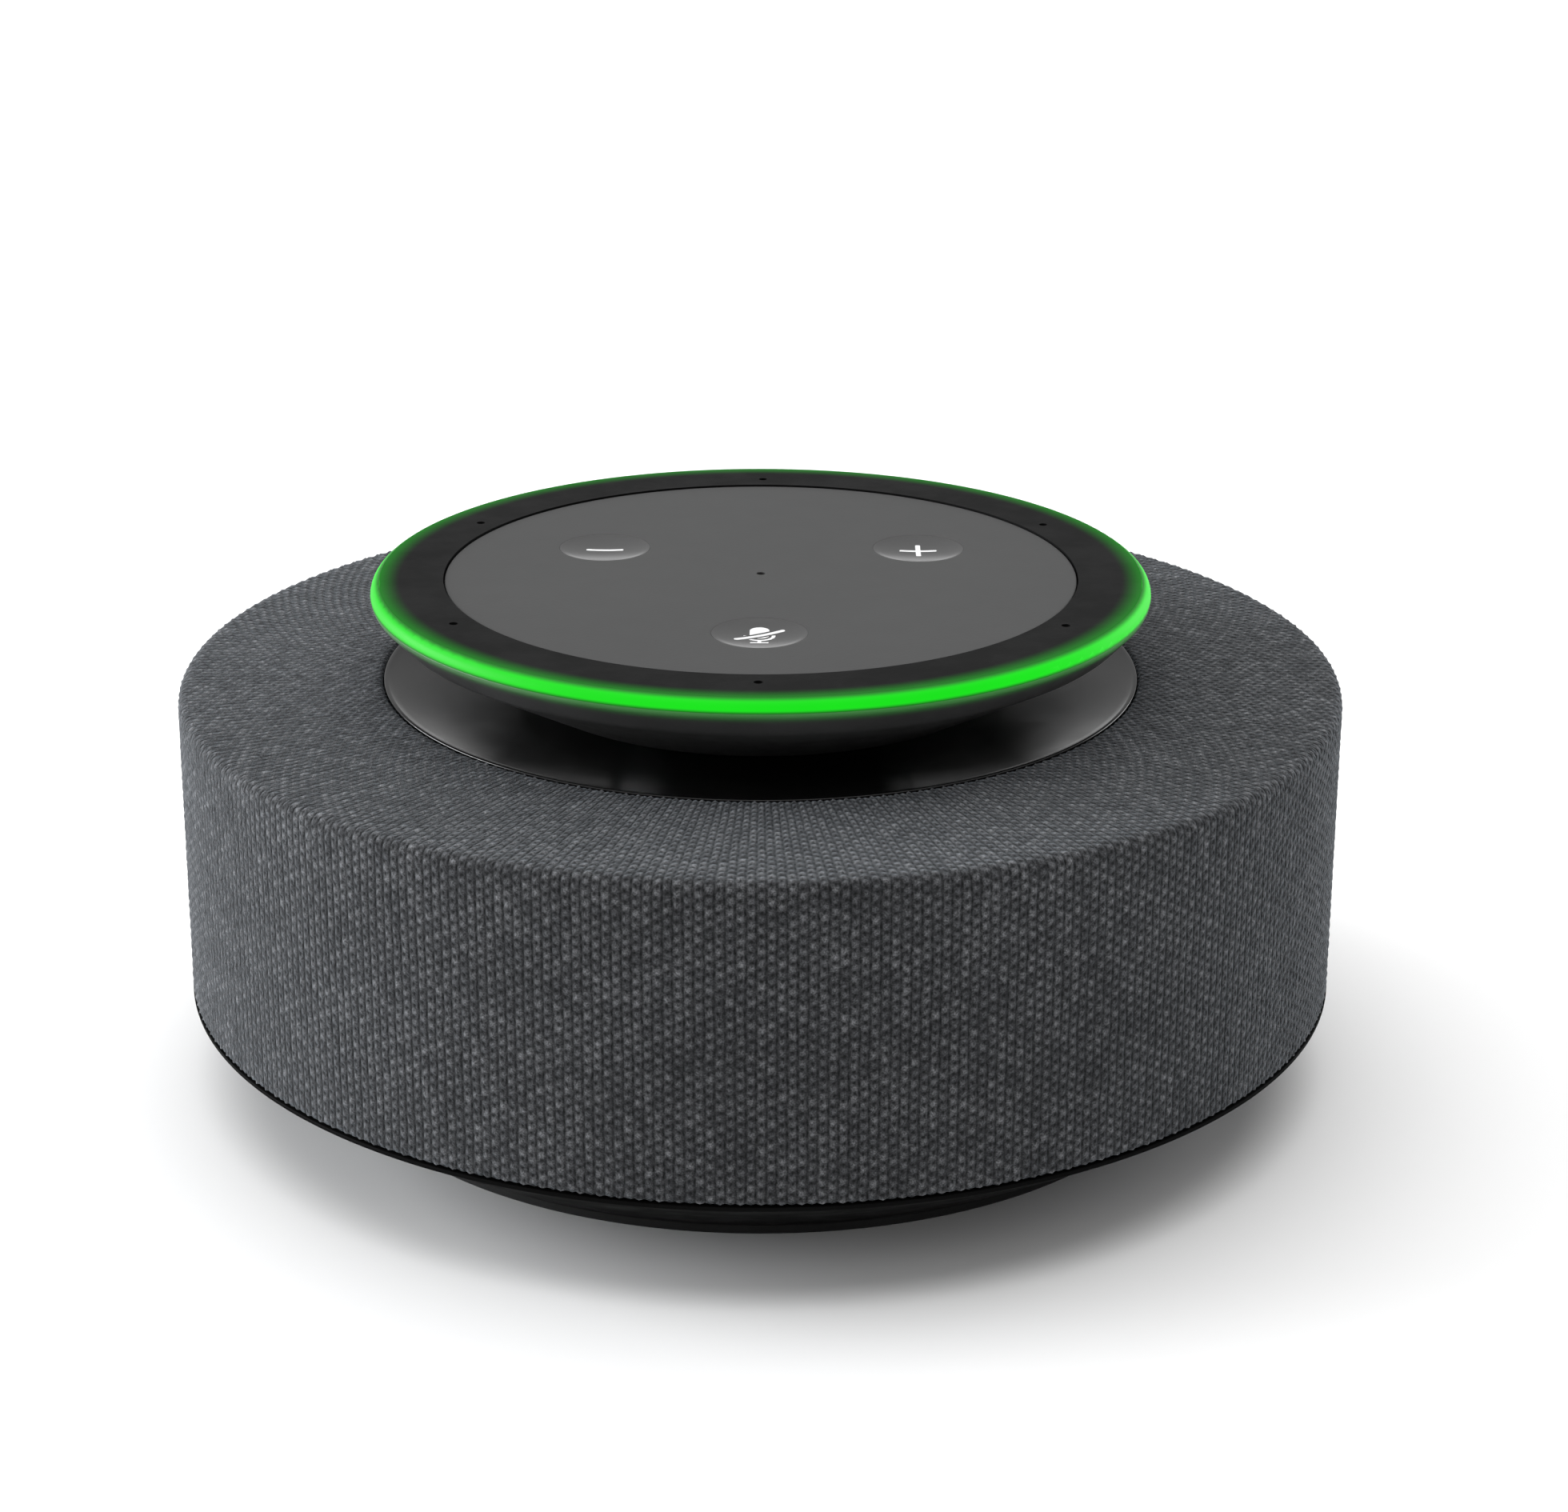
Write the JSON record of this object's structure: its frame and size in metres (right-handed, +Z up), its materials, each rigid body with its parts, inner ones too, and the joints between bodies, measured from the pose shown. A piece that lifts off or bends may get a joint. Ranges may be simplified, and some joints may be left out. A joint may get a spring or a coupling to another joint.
{
  "type": "smart home hub",
  "caption": "Round fabric-covered smart home hub with a glossy dish and a control disc on a neck, ringed by a green light band, with sprung keys.",
  "frame": {"origin": "centre of the flat underside of the rubber foot ring, on the hub's vertical axis", "axes": "+Z up, -Y towards the front (mute key), +Y towards the ports"},
  "size_m": [0.16, 0.16, 0.0708],
  "materials": {
    "knit_fabric": "heathered charcoal knit",
    "base_black": "fine-textured matt black",
    "dish_gloss": "polished piano black",
    "shell_black": "satin black",
    "bezel_black": "matt black",
    "plate_grey": "fine matt dark grey",
    "key_grey": "fine matt dark grey",
    "icon_white": "white inlay",
    "light_green": "lit translucent ring",
    "rubber_black": "matt",
    "inner_plastic": "moulded",
    "white_plastic": "diffusing white",
    "steel": "zinc plated",
    "tin": "tin plated",
    "aluminium": "plain",
    "board_green": "solder mask",
    "chip_black": "moulded",
    "foam": "closed-cell foam",
    "paper_cone": "treated paper",
    "ferrite": "pressed ferrite",
    "copper": "enamelled wire",
    "flex_film": "polyimide film",
    "wire_red": "insulated wire"
  },
  "bodies": {
    "hub": {"base_tray": "base_black", "foot_ring": "rubber_black", "sound_deflector": "inner_plastic", "base_screws": "steel", "speaker_cup": "inner_plastic", "speaker_lid": "inner_plastic", "lid_gasket": "foam", "lid_screws": "steel", "driver_gasket": "foam", "driver_frame": "steel", "driver_screws": "steel", "driver_washer": "steel", "driver_magnet": "ferrite", "driver_yoke": "steel", "driver_surround": "rubber_black", "driver_spider": "copper", "driver_terminals": "inner_plastic", "speaker_leads": "wire_red", "grille_shell": "inner_plastic", "fabric_sleeve": "knit_fabric", "shell_screws": "steel", "antennas": "flex_film", "port_panel": "base_black", "io_board": "board_green", "power_inlet": "chip_black", "usb_port": "tin", "io_flex": "flex_film", "main_board": "board_green", "board_chips": "chip_black", "shield_cans": "tin", "board_connectors": "chip_black", "board_screws": "steel", "thermal_pad": "foam", "heat_spreader": "aluminium", "acoustic_dish": "dish_gloss", "neck": "shell_black", "neck_nut": "aluminium", "neck_screws": "steel", "head_flex": "flex_film", "head_lower_shell": "shell_black", "head_screws": "steel", "mic_board": "board_green", "mic_capsules": "tin", "mic_gaskets": "rubber_black", "status_leds": "white_plastic", "key_switches": "tin", "light_reflector": "white_plastic", "light_ring": "light_green", "bezel_ring": "bezel_black", "top_plate": "plate_grey"},
    "speaker_diaphragm": {"driver_cone": "paper_cone", "dust_cap": "paper_cone", "voice_coil": "copper"},
    "volume_down": {"volume_down_key": "key_grey", "volume_down_icon": "icon_white"},
    "volume_up": {"volume_up_key": "key_grey", "volume_up_icon": "icon_white"},
    "mic_mute": {"mic_mute_key": "key_grey", "mic_mute_icon": "icon_white"}
  },
  "joints": [
    {"name": "diaphragm_stroke", "type": "slide", "parent": "hub", "child": "speaker_diaphragm", "axis": [0, 0, 1], "range_m": [-0.0015, 0.0015], "stiffness_N_per_m": 2000, "deforming": ["driver_surround", "driver_spider"]},
    {"name": "volume_down_press", "type": "slide", "parent": "hub", "child": "volume_down", "axis": [0, 0, -1], "range_m": [0, 0.00035], "stiffness_N_per_m": 4000, "springref_m": -0.0001},
    {"name": "volume_up_press", "type": "slide", "parent": "hub", "child": "volume_up", "axis": [0, 0, -1], "range_m": [0, 0.00035], "stiffness_N_per_m": 4000, "springref_m": -0.0001},
    {"name": "mic_mute_press", "type": "slide", "parent": "hub", "child": "mic_mute", "axis": [0, 0, -1], "range_m": [0, 0.00035], "stiffness_N_per_m": 4000, "springref_m": -0.0001}
  ]
}
